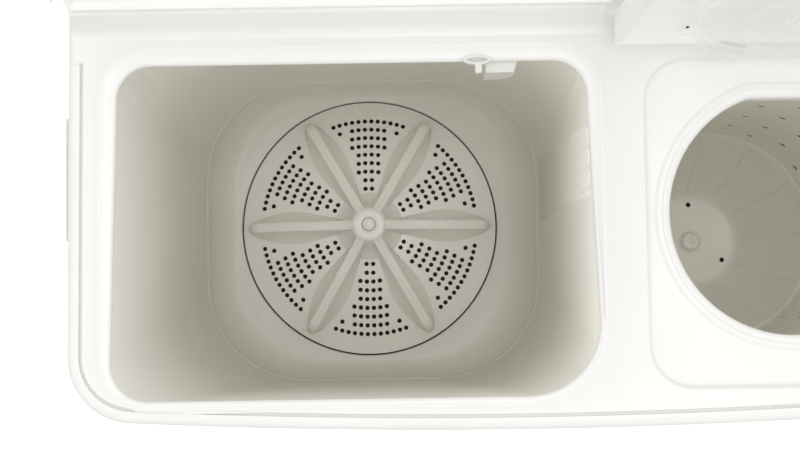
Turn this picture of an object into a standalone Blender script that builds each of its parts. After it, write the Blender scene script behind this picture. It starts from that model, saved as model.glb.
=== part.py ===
"""Twin tub washer: a wash tub with a pulsator and a spin tub with a perforated basket, side by side
in one cabinet, under two hinged lids, with the control console along the back.

Sizes are written in millimetres and become metres where a mesh is made. +X is the machine's right,
-Y its front and +Z up. The origin is on the floor, under the middle of the machine.
Both lids and the round safety cover stand open.
"""

import math

import bmesh
import bpy
from mathutils import Matrix, Vector

MM = 0.001
GAP = 0.3

# Cabinet, seen from above
HALF_WIDTH_FRONT = 401
HALF_WIDTH_BACK = 398
FRONT_Y = -230
BACK_Y = 230
FRONT_BOW = 10
FRONT_CORNER = 58
BACK_CORNER = 16
PANEL_Y = (216, 218)
SHEET = 2
WALL = 3

# Heights
FOOT_HEIGHT = 22
DECK = 830
DECK_SKIRT = 32
SHELF_RISE = 19

# Wash side
WASH_OPENING = ((54, 91.4, 30), (-355, 91.4, 30), (-363, -201, 33), (65, -201, 63))
PULSATOR_AXIS = (-144, -26)
PULSATOR_RADIUS = 141
RECESS_RADIUS = 146
TUB_FLOOR = 410
WASH_LID_AXIS = (139, DECK + 24)
WASH_LID_OPEN = 101
WASH_LID_X = (-386, 76)

# Spin side
SPIN_AXIS = (234, -45)
SPIN_RECESS = (106, 362, -196, 91)
SPIN_OPENING_RADIUS = 107
SPIN_OPENING_CHORD = 56
BASKET_RADIUS = 116
BASKET_FLOOR = 351
BASKET_TOP = 795
SPIN_LID_AXIS = (112, DECK + 14)
SPIN_LID_OPEN = 90
SPIN_LID_X = (80, 392)
COVER_AXIS = (90, DECK + 1)
COVER_OPEN = 94.6
COVER_RADIUS = 112

# Console
CONSOLE_FRONT = 151
PANEL_LOW = (160, DECK + 33)
PANEL_HIGH = (216, DECK + 59)
PANEL_SLOPE = math.atan2(PANEL_HIGH[1] - PANEL_LOW[1], PANEL_HIGH[0] - PANEL_LOW[0])
KNOB_RADIUS = 20
KNOB_HEIGHT = 18
KNOB_Y = 190
KNOBS = {
    "wash_timer": -270,
    "wash_selector": -150,
    "drain_selector": -30,
    "spin_timer": 240,
}

# Drives, under the tubs
SHAFT_RADIUS = 7
WASH_MOTOR_AXIS = (-290, 100)
WASH_PULLEY_RADIUS = 80
MOTOR_PULLEY_RADIUS = 25
BELT_HEIGHT = (320, 332)
VALVE_AXIS = (78, 165)


# ---------------------------------------------------------------- materials


def material(name, colour, roughness, metallic=0.0, alpha=1.0):
    """A Principled material of a node's own."""
    made = bpy.data.materials.new(name)
    made.use_nodes = True
    shader = made.node_tree.nodes["Principled BSDF"]
    shader.inputs["Base Color"].default_value = (*colour, 1)
    shader.inputs["Roughness"].default_value = roughness
    shader.inputs["Metallic"].default_value = metallic
    shader.inputs["Alpha"].default_value = alpha
    return made


WHITE = ((0.88, 0.87, 0.84), 0.35)
TUB = ((0.74, 0.73, 0.68), 0.4)
CLEAR = ((0.85, 0.88, 0.88), 0.25, 0.0, 0.45)
GREY = ((0.35, 0.36, 0.37), 0.5)
BLACK = ((0.03, 0.03, 0.03), 0.6)
PAINT = ((0.85, 0.85, 0.83), 0.3)
STEEL = ((0.6, 0.6, 0.6), 0.35, 1.0)


# ---------------------------------------------------------------- shapes


def finish(name, shape, look, origin=(0, 0, 0)):
    """Turns a BMesh in millimetres into a named object in metres, with its origin at a point."""
    bmesh.ops.recalc_face_normals(shape, faces=shape.faces)
    bmesh.ops.translate(shape, vec=[-v for v in origin], verts=shape.verts)
    bmesh.ops.scale(shape, vec=(MM, MM, MM), verts=shape.verts)
    mesh = bpy.data.meshes.new(name)
    shape.to_mesh(mesh)
    shape.free()
    mesh.shade_smooth()
    mesh.set_sharp_from_angle(angle=math.radians(30))
    mesh.materials.append(material(name, *look))
    made = bpy.data.objects.new(name, mesh)
    made.location = [v * MM for v in origin]
    bpy.context.scene.collection.objects.link(made)
    return made


def loft(name, rings, look=WHITE, endless=False, origin=(0, 0, 0)):
    """A skin through rings of equal count. Its ends are capped, or joined where it is endless."""
    shape = bmesh.new()
    loops = [[shape.verts.new(point) for point in ring] for ring in rings]
    count = len(loops[0])
    pairs = list(zip(loops, loops[1:]))
    if endless:
        pairs.append((loops[-1], loops[0]))
    else:
        shape.faces.new(loops[0])
        shape.faces.new(loops[-1])
    for low, high in pairs:
        for i in range(count):
            j = (i + 1) % count
            shape.faces.new((low[i], low[j], high[j], high[i]))
    return finish(name, shape, look, origin)


def at_height(outline, z):
    return [(x, y, z) for x, y in outline]


def upright(name, outline, low, high, look=WHITE, origin=(0, 0, 0)):
    """An outline in X and Y, raised from one height to another."""
    return loft(name, [at_height(outline, low), at_height(outline, high)], look, origin=origin)


def sideways(name, profile, left, right, look=WHITE, origin=(0, 0, 0)):
    """A profile in Y and Z, drawn out along X."""
    rings = [[(x, y, z) for y, z in profile] for x in (left, right)]
    return loft(name, rings, look, origin=origin)


def box(name, low, high, look=WHITE, origin=(0, 0, 0)):
    outline = [(low[0], low[1]), (high[0], low[1]), (high[0], high[1]), (low[0], high[1])]
    return upright(name, outline, low[2], high[2], look, origin)


def circle(centre, radius, count=48):
    """Points half a step off the axes, so that they pair with a rounded rectangle's."""
    turns = [2 * math.pi * (i + 0.5) / count for i in range(count)]
    return [(centre[0] + radius * math.cos(a), centre[1] + radius * math.sin(a)) for a in turns]


def rounded_box(left, right, front, back, radius, count=48):
    """A rectangle with quarter-circle corners, counter-clockwise from its right side."""
    quarter = count // 4
    corners = (
        (right - radius, back - radius),
        (left + radius, back - radius),
        (left + radius, front + radius),
        (right - radius, front + radius),
    )
    points = []
    for n, (x, y) in enumerate(corners):
        for i in range(quarter):
            angle = math.radians(90 * (n + i / (quarter - 1)))
            points.append((x + radius * math.cos(angle), y + radius * math.sin(angle)))
    return points


def rounded_corners(corners, steps=8):
    """A polygon of (x, y, radius) corners, counter-clockwise, with each corner an arc."""
    points = []
    for n, (x, y, radius) in enumerate(corners):
        here = Vector((x, y))
        to_last = (Vector(corners[n - 1][:2]) - here).normalized()
        to_next = (Vector(corners[(n + 1) % len(corners)][:2]) - here).normalized()
        half = to_last.angle(to_next) / 2
        inward = (to_last + to_next).normalized()
        centre = here + inward * radius / math.sin(half)
        middle = math.atan2(-inward.y, -inward.x)
        for i in range(steps + 1):
            angle = middle + (math.pi - 2 * half) * (i / steps - 0.5)
            points.append(
                (centre.x + radius * math.cos(angle), centre.y + radius * math.sin(angle))
            )
    return points


def turned(name, profile, centre, look=WHITE, count=48, origin=None):
    """A profile of (radius, z) turned round an upright axis. From radius 0 to 0 it is solid."""
    rings = [at_height(circle(centre, r, count), z) for r, z in profile if r > 0]
    return loft(name, rings, look, endless=profile[0][0] > 0, origin=origin or (*centre, 0))


def rod(name, start, end, radius, look=WHITE, count=20, origin=(0, 0, 0)):
    """A round bar between two points."""
    shape = bmesh.new()
    run = Vector(end) - Vector(start)
    bmesh.ops.create_cone(
        shape, cap_ends=True, segments=count, radius1=radius, radius2=radius, depth=run.length
    )
    place = Matrix.Translation((Vector(start) + Vector(end)) / 2)
    place = place @ run.to_track_quat("Z", "Y").to_matrix().to_4x4()
    bmesh.ops.transform(shape, matrix=place, verts=shape.verts)
    return finish(name, shape, look, origin)


def combine(body, operation, *tools):
    """Cuts, joins or crosses a body with each tool, and hides the tool."""
    for tool in tools:
        step = body.modifiers.new(tool.name, "BOOLEAN")
        step.operation = operation
        step.solver = "EXACT"
        step.object = tool
        tool.hide_render = True
        tool.display_type = "WIRE"


# ---------------------------------------------------------------- cabinet


def body_outline(inset=0):
    """The machine seen from above: a rounded rectangle with a bowed front."""
    front = FRONT_Y + FRONT_BOW + inset
    side, rear, back = HALF_WIDTH_FRONT - inset, HALF_WIDTH_BACK - inset, BACK_Y - inset
    corners = rounded_corners(
        [
            (rear, back, BACK_CORNER - inset),
            (-rear, back, BACK_CORNER - inset),
            (-side, front, FRONT_CORNER - inset),
            (side, front, FRONT_CORNER - inset),
        ]
    )
    half = HALF_WIDTH_FRONT - FRONT_CORNER
    bow = []
    for i in range(1, 12):
        share = i / 6 - 1
        bow.append((share * half, front - FRONT_BOW * (1 - share * share)))
    return corners[:27] + bow + corners[27:]


def cabinet_band(inset):
    """The sides and front of the outline, open at the back."""
    rear = HALF_WIDTH_BACK - inset
    return [(-rear, PANEL_Y[1]), *body_outline(inset)[18:], (rear, PANEL_Y[1])]


def build_cabinet():
    low, high = FOOT_HEIGHT + 6, DECK - DECK_SKIRT + 8
    outer = WALL + 1
    band = cabinet_band(outer) + cabinet_band(outer + SHEET)[::-1]
    upright("cabinet_shell", band, low, high, PAINT)
    half = HALF_WIDTH_BACK - outer - SHEET - 1
    panel = box("back_panel", (-half, PANEL_Y[0], low), (half, PANEL_Y[1], high), PAINT)
    hole_z = 300
    combine(
        panel,
        "DIFFERENCE",
        rod("drain_hole", (VALVE_AXIS[0], 200, hole_z), (VALVE_AXIS[0], 240, hole_z), 14.5),
    )


def build_base():
    """A shallow tray that carries the cabinet and the motors, on four feet."""
    rim, skin = FOOT_HEIGHT + 28, 2.5
    inset = WALL + SHEET + 2
    outer, inner = body_outline(inset), body_outline(inset + skin)
    outer = [(x, min(y, PANEL_Y[0] - GAP)) for x, y in outer]
    inner = [(x, min(y, PANEL_Y[0] - GAP - skin)) for x, y in inner]
    rings = [
        at_height(outer, FOOT_HEIGHT),
        at_height(outer, rim),
        at_height(inner, rim),
        at_height(inner, FOOT_HEIGHT + skin),
    ]
    loft("base_tray", rings, GREY)
    for name, x, y in (
        ("foot_front_left", -340, -165),
        ("foot_front_right", 340, -165),
        ("foot_back_left", -340, 175),
        ("foot_back_right", 340, 175),
    ):
        top = FOOT_HEIGHT - GAP
        turned(name, [(0, 0), (22, 0), (24, 3), (20, top), (0, top)], (x, y), BLACK, 24)


def build_grips():
    """A hand grip proud of each side of the deck's skirt, a little behind the middle."""
    for name, side in (("side_grip_left", -1), ("side_grip_right", 1)):
        inner, outer = 401.3, 404.5
        ends = sorted((side * inner, side * outer))
        box(name, (ends[0], -60, DECK - 30), (ends[1], 48, DECK - 8), WHITE)


def build_back_fittings():
    """The cord gland and the screws on the back panel."""
    y = PANEL_Y[1] + GAP
    rod("cord_gland", (-340, y, 120), (-340, y + 10, 120), 11, BLACK)
    for n, (x, z) in enumerate(((-370, 60), (370, 770)), 1):
        rod(f"back_screw_{n}", (x, y, z), (x, y + 2.5, z), 4.5, STEEL, 12)


# ---------------------------------------------------------------- deck


def deck_profile(thickness, rise_foot):
    """The deck's section: flat, then a sloped rise to the shelf under the console."""
    flat, shelf = DECK - thickness, DECK + SHELF_RISE - thickness
    low = DECK - DECK_SKIRT - 10
    return [
        (-300, low),
        (300, low),
        (300, shelf),
        (rise_foot + 15, shelf),
        (rise_foot, flat),
        (-300, flat),
    ]


def spin_opening():
    """A circle with a flat bar across its back."""
    return [(x, min(y, SPIN_OPENING_CHORD)) for x, y in circle(SPIN_AXIS, SPIN_OPENING_RADIUS)]


def build_deck():
    low, high = DECK - DECK_SKIRT, DECK + 60
    left, right, front, back = SPIN_RECESS
    deck = upright("top_deck", body_outline(), low, high)
    combine(deck, "INTERSECT", sideways("deck_top", deck_profile(0, 120), -420, 420))

    hollow = upright("deck_hollow", body_outline(WALL), low - 5, high)
    combine(hollow, "INTERSECT", sideways("hollow_top", deck_profile(WALL, 138), -420, 420))
    pan = rounded_box(left - WALL, right + WALL, front - WALL, back + WALL, 40)
    combine(hollow, "DIFFERENCE", upright("pan_block", pan, DECK - 11, DECK + 30))

    lid_well = [(100, DECK), (136, DECK), (151, DECK + 19), (151, DECK + 50), (100, DECK + 50)]
    combine(
        deck,
        "DIFFERENCE",
        hollow,
        sideways("lid_well", lid_well, SPIN_LID_X[0] - 5, SPIN_LID_X[1] + 4),
        upright("wash_cut", rounded_corners(WASH_OPENING), DECK - 20, DECK + 40),
        upright("pan_cut", rounded_box(left, right, front, back, 37), DECK - 8, DECK + 40),
        upright("spin_cut", spin_opening(), DECK - 30, DECK),
        box("console_cut", (-380, 160, DECK), (380, 222, DECK + 40)),
    )


# ---------------------------------------------------------------- wash side


def tub_outline(depth, grow=0):
    """The wash tub at a share of the way down its wall, 0 at the top and 1 at the fillet."""
    ends = ((-364, -325), (64, 45), (-204, -198), (145, 137), (40, 110))
    left, right, front, back, radius = (a + (b - a) * depth for a, b in ends)
    return rounded_box(left - grow, right + grow, front - grow, back + grow, radius + grow)


def tub_fillet(turn, grow=0):
    """The tub where its wall bends into the floor. The turn runs from 0 to 1."""
    run = 1 - math.cos(turn * math.pi / 2)
    insets = (33 * run, 36 * run, 22 * run, 13 * run)
    left, right, front, back = -325 + insets[0], 45 - insets[1], -198 + insets[2], 137 - insets[3]
    return rounded_box(
        left - grow, right + grow, front - grow, back + grow, 110 - 8 * run + grow
    )


def build_wash_tub():
    """A deep tub with a round recess in its floor for the pulsator, hung by a flange."""
    top, bend = DECK - WALL - GAP, TUB_FLOOR + 44
    inner = [at_height(tub_outline(share), top + (bend - top) * share) for share in (0, 0.5, 1)]
    outer = [
        at_height(tub_outline(share, WALL), top - WALL + (bend - top + WALL) * share)
        for share in (0, 0.5, 1)
    ]
    for turn in (0.35, 0.7, 1):
        z = TUB_FLOOR + 44 * (1 - math.sin(turn * math.pi / 2))
        inner.append(at_height(tub_fillet(turn), z))
        outer.append(at_height(tub_fillet(turn, WALL), z - WALL * turn))
    well = TUB_FLOOR - 16
    floor = [
        at_height(circle(PULSATOR_AXIS, RECESS_RADIUS), TUB_FLOOR),
        at_height(circle(PULSATOR_AXIS, RECESS_RADIUS), well),
        at_height(circle(PULSATOR_AXIS, 14), well),
        at_height(circle(PULSATOR_AXIS, 14), well - WALL),
        at_height(circle(PULSATOR_AXIS, RECESS_RADIUS + WALL), well - WALL),
        at_height(circle(PULSATOR_AXIS, RECESS_RADIUS + WALL), TUB_FLOOR - WALL - 1),
    ]
    flange = [
        at_height(tub_outline(0, 8), top - WALL),
        at_height(tub_outline(0, 8), top),
    ]
    loft("wash_tub", inner + floor + outer[::-1] + flange, TUB, endless=True)


def pulsator_height(radius):
    """The pulsator's dome, above the tub's floor."""
    if radius < 20:
        return 56
    if radius < 36:
        return 56 - 30 * (radius - 20) / 16
    return max(2, 26 * (1 - ((radius - 36) / 105) ** 1.4))


def vane_height(radius, turn):
    """Six leaf-shaped vanes stand on the dome."""
    if not 30 < radius < 132:
        return 0
    across = radius * abs(math.sin((turn * 3 + math.pi / 2) % math.pi - math.pi / 2)) / 3
    width = 20 * math.sin(math.pi * min(1, (radius - 20) / 114)) ** 0.5
    return 15 * max(0, 1 - across / width) * min(1, (133 - radius) / 20)


def build_pulsator():
    count = 72
    rings = []
    for radius in (9, 20, 28, 36, 50, 66, 82, 98, 112, 124, 133, PULSATOR_RADIUS):
        ring = []
        for i, (x, y) in enumerate(circle(PULSATOR_AXIS, radius, count)):
            turn = 2 * math.pi * (i + 0.5) / count
            ring.append((x, y, TUB_FLOOR + pulsator_height(radius) + vane_height(radius, turn)))
        rings.append(ring)
    bore, base = SHAFT_RADIUS + GAP, TUB_FLOOR - 8
    for radius, z in (
        (PULSATOR_RADIUS, base),
        (bore, base),
        (bore, TUB_FLOOR + 40),
    ):
        rings.append(at_height(circle(PULSATOR_AXIS, radius, count), z))
    loft("pulsator", rings, TUB, origin=(*PULSATOR_AXIS, 0))
    top = TUB_FLOOR + 56 + GAP
    cap = [(0, top), (12, top), (12, top + 4), (9, top + 6), (0, top + 6)]
    turned("pulsator_cap", cap, PULSATOR_AXIS, WHITE, 32)


def build_filters():
    """The lint filter hangs behind the back lip, on a clip. The overflow filter is on the right wall."""
    body = [(-34, 84), (-10, 84), (-6, 96), (-10, 116), (-34, 116)]
    upright("lint_filter", body, DECK - 90, DECK - 12, WHITE)
    clip = [(-48, 74), (-41, 74), (-41, 86), (-35, 90), (-35, 98), (-55, 98), (-55, 90), (-48, 86)]
    upright("filter_clip", clip, DECK + GAP, DECK + 5, WHITE)
    rings = []
    for share, z in ((0.12, 783), (0.94, 478)):
        right = 64 - 19 * share - 1
        outline = [(right - 2, -25), (right, -25), (right, 42), (right - 2, 42)]
        rings.append(at_height(outline, z))
    loft("overflow_filter", rings, TUB)


# ---------------------------------------------------------------- wash drive


def belt_outline(grow):
    """A band round the two pulleys."""
    small, large = MOTOR_PULLEY_RADIUS + grow, WASH_PULLEY_RADIUS + grow
    run = Vector(WASH_MOTOR_AXIS) - Vector(PULSATOR_AXIS)
    heading, spread = math.atan2(run.y, run.x), math.acos((large - small) / run.length)
    points = []
    for centre, radius, start, sweep in (
        (PULSATOR_AXIS, large, heading + spread, 2 * (math.pi - spread)),
        (WASH_MOTOR_AXIS, small, heading - spread, 2 * spread),
    ):
        for i in range(25):
            angle = start + sweep * i / 24
            points.append(
                (centre[0] + radius * math.cos(angle), centre[1] + radius * math.sin(angle))
            )
    return points


def pulley(name, centre, radius, bore):
    """A wheel with a groove for the belt."""
    low, high = BELT_HEIGHT[0] - 4, BELT_HEIGHT[1] + 4
    profile = [
        (bore, low),
        (radius + 4, low),
        (radius + 4, BELT_HEIGHT[0] - 1),
        (radius, BELT_HEIGHT[0] - 1),
        (radius, BELT_HEIGHT[1] + 1),
        (radius + 4, BELT_HEIGHT[1] + 1),
        (radius + 4, high),
        (bore, high),
    ]
    turned(name, profile, centre, GREY)


def build_wash_drive():
    bore, well = SHAFT_RADIUS + GAP, TUB_FLOOR - 16 - WALL
    x, y = PULSATOR_AXIS
    rod("wash_shaft", (x, y, 308), (x, y, TUB_FLOOR + 39), SHAFT_RADIUS, STEEL, 24, (x, y, 0))
    housing = [(bore, 345), (30, 345), (30, 378), (60, 378), (60, well - GAP), (bore, well - GAP)]
    turned("gear_housing", housing, PULSATOR_AXIS, STEEL)
    seal = [(bore, well + 0.5), (13.7, well + 0.5), (13.7, well + 8), (bore, well + 8)]
    turned("shaft_seal", seal, PULSATOR_AXIS, BLACK, 32)
    pulley("wash_pulley", PULSATOR_AXIS, WASH_PULLEY_RADIUS, bore)
    pulley("motor_pulley", WASH_MOTOR_AXIS, MOTOR_PULLEY_RADIUS, 5 + GAP)

    outer, inner = belt_outline(7), belt_outline(0.6)
    rings = [at_height(outline, z) for outline, z in (
        (inner, BELT_HEIGHT[0]),
        (inner, BELT_HEIGHT[1]),
        (outer, BELT_HEIGHT[1]),
        (outer, BELT_HEIGHT[0]),
    )]
    loft("drive_belt", rings, BLACK, endless=True)

    mx, my = WASH_MOTOR_AXIS
    body = [(0, 214.3), (50, 214.3), (55, 222), (55, 290), (48, 300), (18, 304), (0, 304)]
    turned("wash_motor", body, WASH_MOTOR_AXIS, GREY)
    rod("wash_motor_shaft", (mx, my, 304.3), (mx, my, 345), 5, STEEL, 20, (mx, my, 0))
    low = FOOT_HEIGHT + 2.5 + GAP
    section = [
        (40, low),
        (168, low),
        (168, 214),
        (40, 214),
        (40, 211),
        (165, 211),
        (165, low + 3),
        (40, low + 3),
    ]
    sideways("motor_bracket", section, mx - 52, mx + 52, STEEL)


# ---------------------------------------------------------------- spin side


def build_spin_case():
    """The still cylinder round the basket, hung under the deck's pan."""
    top = DECK - 11 - GAP
    profile = [
        (130, top),
        (130, 332),
        (30, 332),
        (30, 329),
        (133, 329),
        (133, top - WALL),
        (141, top - WALL),
        (141, top),
    ]
    turned("spin_tub_case", profile, SPIN_AXIS, TUB)
    bellows = [(8.8, 322), (29.5, 322), (29.5, 340), (24, 343), (8.8, 343)]
    turned("bellows_seal", bellows, SPIN_AXIS, BLACK, 32)


def build_basket():
    """A thin drum with a conical floor, on the motor's shaft."""
    bore = 8.3
    profile = [
        (0, BASKET_FLOOR + 12),
        (10, BASKET_FLOOR + 12),
        (12, BASKET_FLOOR),
        (54, BASKET_FLOOR),
        (112, 460),
        (BASKET_RADIUS, 463),
        (BASKET_RADIUS, BASKET_TOP),
        (BASKET_RADIUS + 2, BASKET_TOP),
        (BASKET_RADIUS + 2, 461),
        (55, BASKET_FLOOR - 3),
        (bore, BASKET_FLOOR - 3),
        (bore, BASKET_FLOOR + 7),
        (0, BASKET_FLOOR + 7),
    ]
    turned("spin_basket", profile, SPIN_AXIS, TUB)
    low = BASKET_TOP + GAP
    ring = [(110.5, low), (118, low), (118, low + 10), (110.5, low + 10)]
    turned("balance_ring", ring, SPIN_AXIS, WHITE)


def build_spin_drive():
    x, y = SPIN_AXIS
    rod("spin_shaft", (x, y, 201), (x, y, BASKET_FLOOR + 6.5), 8, STEEL, 24, (x, y, 0))
    body = [(0, 120.3), (62, 120.3), (62, 226), (54, 235), (8.3, 235), (8.3, 200), (0, 200)]
    turned("spin_motor", body, SPIN_AXIS, GREY)
    turned("spin_motor_plate", [(0, 112), (95, 112), (95, 120), (0, 120)], SPIN_AXIS, STEEL)
    for n, degrees in enumerate((90, 210, 330), 1):
        turn = math.radians(degrees)
        place = (x + 80 * math.cos(turn), y + 80 * math.sin(turn))
        low, high = FOOT_HEIGHT + 2.5 + GAP, 112 - GAP
        sleeve = [(0, low), (20, low), (20, 34), (12, 40), (12, 100), (20, 106), (20, high), (0, high)]
        turned(f"spin_mount_{n}", sleeve, place, BLACK, 20)
    turned("brake_drum", [(8.3, 250), (45, 250), (45, 274), (8.3, 274)], SPIN_AXIS, STEEL)
    px, py = x + 52, y - 60
    rod("brake_post", (px, py, 120.3), (px, py, 251.7), 6, STEEL)
    lever = rounded_box(px - 6, px + 6, py - 8, y + 26, 5, 16)
    upright("brake_lever", lever, 252, 266, GREY, (px, py, 0))


# ---------------------------------------------------------------- drain


def build_drain():
    """The valve chamber behind the tubs, its lifting plug, and the outlet through the back."""
    x, y = VALVE_AXIS
    cup = [(0, 270), (23, 270), (23, 372), (20, 372), (20, 274), (0, 274)]
    turned("drain_valve_body", cup, VALVE_AXIS, TUB, 32)
    plug = [(0, 274.3), (11, 274.3), (14, 280), (14, 294), (4, 300), (4, 392), (0, 392)]
    turned("drain_plug", plug, VALVE_AXIS, BLACK, 24)
    rod("drain_outlet", (x, y + 23.4, 300), (x, BACK_Y - 0.5, 300), 14, GREY, 24)


# ---------------------------------------------------------------- lids


def opened(piece, axis, degrees):
    """Stands a lid, drawn closed, open about its hinge line and fixes its shape there."""
    turn = Matrix.Rotation(math.radians(-degrees), 4, "X")
    piece.data.transform(turn)


def lid_shell(name, x_ends, axis, outline, section, hollow, look):
    """A lid is its outline crossed with its section, less the hollow under it."""
    origin = ((x_ends[0] + x_ends[1]) / 2, *axis)
    lid = upright(name, outline, DECK - 5, DECK + 60, look, origin)
    blade = sideways(f"{name}_section", section, x_ends[0] - 5, x_ends[1] + 5, origin=origin)
    cavity = sideways(
        f"{name}_hollow", hollow, x_ends[0] + WALL, x_ends[1] - WALL, origin=origin
    )
    combine(lid, "INTERSECT", blade)
    combine(lid, "DIFFERENCE", cavity)
    return [lid, blade, cavity]


def build_wash_lid():
    left, right = WASH_LID_X
    top, plate, rim = DECK + 33, DECK + 21.5, DECK + 1
    back, skirt = WASH_LID_AXIS[0] + 2.5, 76
    outline = rounded_corners(
        [(right, back, 2), (left, back, 2), (left, -212, 44), (right, -212, 6)]
    )
    section = [(-260, rim), (skirt, rim), (skirt, plate), (back + 9, plate), (back + 9, top), (-260, top)]
    hollow = [(-208, rim - 9), (skirt + 9, rim - 9), (skirt + 9, plate), (130, plate + 4)]
    hollow += [(100, top - WALL), (-208, top - WALL)]
    for piece in lid_shell("wash_lid", WASH_LID_X, WASH_LID_AXIS, outline, section, hollow, WHITE):
        opened(piece, WASH_LID_AXIS, WASH_LID_OPEN)


def build_spin_lid():
    """The foot of its back wall is cut on a slant, to clear the deck as the lid swings."""
    left, right = SPIN_LID_X
    top, rim = DECK + 36, DECK + 1
    back = SPIN_LID_AXIS[0] + 11.5
    outline = rounded_corners(
        [(right, back, 3), (left, back, 3), (left, -212, 6), (right, -212, 44)]
    )
    section = [(-260, rim), (back - 7.5, rim), (back, DECK + 7), (back + 9, DECK + 7)]
    section += [(back + 9, top), (-260, top)]
    hollow = [(-208, rim - 9), (back - WALL, rim - 9), (back - WALL, top - WALL), (-208, top - WALL)]
    pieces = lid_shell("spin_lid", SPIN_LID_X, SPIN_LID_AXIS, outline, section, hollow, WHITE)
    origin = ((left + right) / 2, *SPIN_LID_AXIS)
    for n, x in enumerate((148, 324), 1):
        slot = box(
            f"hinge_slot_{n}", (x - 7, back - 8, rim - 9), (x + 7, back + 9, DECK + 20), origin=origin
        )
        combine(pieces[0], "DIFFERENCE", slot)
        pieces.append(slot)
    for piece in pieces:
        opened(piece, SPIN_LID_AXIS, SPIN_LID_OPEN)

    y, z = SPIN_LID_AXIS
    for side, x in (("left", 148), ("right", 324)):
        name = f"spin_hinge_{side}"
        post = box(name, (x - 4, y - 4, DECK + GAP), (x + 4, y + 4, z + 4), WHITE)
        pin = rod(f"{name}_pin", (x - 12, y, z), (x + 12, y, z), 2.5)
        combine(post, "UNION", pin)


def build_safety_cover():
    """A translucent disc with raised rings and two hinge ears, on its own pins."""
    x, y = SPIN_AXIS
    origin = (x, *COVER_AXIS)
    profile = [(0, DECK - 4), (31, DECK - 4), (33, DECK - 2), (36, DECK - 2), (38, DECK - 4)]
    profile += [(65, DECK - 4), (67, DECK - 2), (70, DECK - 2), (72, DECK - 4), (99, DECK - 4)]
    profile += [(103, DECK + 1), (COVER_RADIUS, DECK + 1), (COVER_RADIUS, DECK - 7), (0, DECK - 7)]
    cover = turned("safety_cover", profile, SPIN_AXIS, CLEAR, 64, origin)
    ears = []
    for side, ear_x in (("left", x - 62), ("right", x + 62)):
        low, high = COVER_AXIS[1] - 5, COVER_AXIS[1] - 1
        bar = (ear_x - 12, 30, low), (ear_x + 12, COVER_AXIS[0], high)
        ears.append(box(f"cover_ear_{side}", *bar, origin=origin))
    combine(cover, "UNION", *ears)
    for piece in (cover, *ears):
        opened(piece, COVER_AXIS, COVER_OPEN)


def build_lid_switch():
    box("lid_switch", (84, 98, DECK - 26), (98, 118, DECK - WALL - GAP), BLACK)


# ---------------------------------------------------------------- console


def build_console():
    """A hollow bar with a sloped panel, over the shelf at the back of the deck."""
    shelf = DECK + SHELF_RISE + GAP
    half = HALF_WIDTH_BACK - 1
    section = [
        (CONSOLE_FRONT, shelf),
        (BACK_Y - 0.5, shelf),
        (BACK_Y - 0.5, DECK + 54),
        (226, DECK + 59),
        PANEL_HIGH,
        PANEL_LOW,
        (CONSOLE_FRONT, DECK + 22),
    ]
    hollow = [
        (CONSOLE_FRONT + WALL, shelf - 9),
        (BACK_Y - 0.5 - WALL, shelf - 9),
        (BACK_Y - 0.5 - WALL, DECK + 53),
        (224.5, DECK + 56),
        (PANEL_HIGH[0] + 0.7, PANEL_HIGH[1] - WALL),
        (PANEL_LOW[0] + 1.3, PANEL_LOW[1] - WALL),
        (CONSOLE_FRONT + WALL, DECK + 21),
    ]
    console = sideways("console_shell", section, -half, half, WHITE)
    combine(
        console, "DIFFERENCE", sideways("console_hollow", hollow, -half + WALL, half - WALL)
    )
    rise = (KNOB_Y - PANEL_LOW[0]) * math.tan(PANEL_SLOPE)
    for name, x in KNOBS.items():
        build_control(console, name, Vector((x, KNOB_Y, PANEL_LOW[1] + rise)))
    port = [(5, DECK + 59.5), (9, DECK + 59.5), (9, DECK + 80), (5, DECK + 80)]
    turned("inlet_port", port, (-372, 221 - 9 + 6), TUB, 24)


def build_control(console, name, place):
    """A knob on the sloped panel, with its stem through a hole into a timer or switch."""
    tilt = Matrix.Rotation(PANEL_SLOPE, 4, "X")
    stem = 4
    knob = [(0, -20), (stem, -20), (stem, 0.8), (KNOB_RADIUS, 0.8), (KNOB_RADIUS, 5)]
    knob += [(KNOB_RADIUS - 3, KNOB_HEIGHT - 1), (KNOB_RADIUS - 5, KNOB_HEIGHT), (0, KNOB_HEIGHT)]
    case = [(stem + 0.6, -WALL - 1.2), (20, -WALL - 1.2), (20, -34), (stem + 0.6, -34)]
    hole = [(0, -12), (stem + 1, -12), (stem + 1, 8), (0, 8)]
    kind = "timer" if name.endswith("timer") else "switch"
    for piece_name, profile, look in (
        (f"{name}_knob", knob, GREY),
        (f"{name.replace('_timer', '').replace('_selector', '')}_{kind}", case, BLACK),
        (f"{name}_hole", hole, WHITE),
    ):
        piece = turned(piece_name, profile, (0, 0), look, 36)
        piece.location = place * MM
        piece.rotation_euler = tilt.to_euler()
        if profile is hole:
            combine(console, "DIFFERENCE", piece)


def main():
    for old in list(bpy.data.objects):
        bpy.data.objects.remove(old, do_unlink=True)
    build_base()
    build_cabinet()
    build_grips()
    build_back_fittings()
    build_deck()
    build_wash_tub()
    build_pulsator()
    build_filters()
    build_wash_drive()
    build_spin_case()
    build_basket()
    build_spin_drive()
    build_drain()
    build_wash_lid()
    build_spin_lid()
    build_safety_cover()
    build_lid_switch()
    build_console()


main()
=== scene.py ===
"""Twin tub washer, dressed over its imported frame. Sizes are in millimetres until a mesh is made."""

import math

import bmesh
import bpy
from mathutils import Matrix, Vector
from mathutils.geometry import delaunay_2d_cdt


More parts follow.
